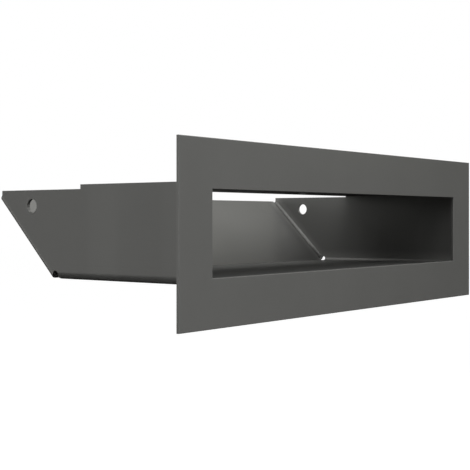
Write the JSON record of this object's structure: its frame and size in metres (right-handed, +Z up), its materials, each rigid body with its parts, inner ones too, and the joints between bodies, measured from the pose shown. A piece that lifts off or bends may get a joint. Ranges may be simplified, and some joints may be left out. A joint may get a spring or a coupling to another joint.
{
  "type": "ventilation grille",
  "caption": "Rectangular wall grille for warm air: flat face frame on a shallow folded sheet duct with a part roof, a sloped back panel and an open top behind the roof.",
  "frame": {"origin": "centre of the face frame's back face, the plane that lies on the wall, on the axis of the duct", "axes": "+X across the face, to the right as seen from the room; +Y from the face into the wall along the duct; +Z up, towards the roof and the open outlet"},
  "size_m": [0.2, 0.0999, 0.06],
  "materials": {
    "face_coat": "satin graphite powder coat",
    "duct_coat": "satin graphite powder coat",
    "weld_coat": "graphite powder coat over rippled weld metal"
  },
  "bodies": {
    "root": {"face_frame": "face_coat", "duct_shell": "duct_coat", "roof_plate": "duct_coat", "roof_welds": "weld_coat", "frame_welds": "weld_coat"}
  },
  "joints": []
}
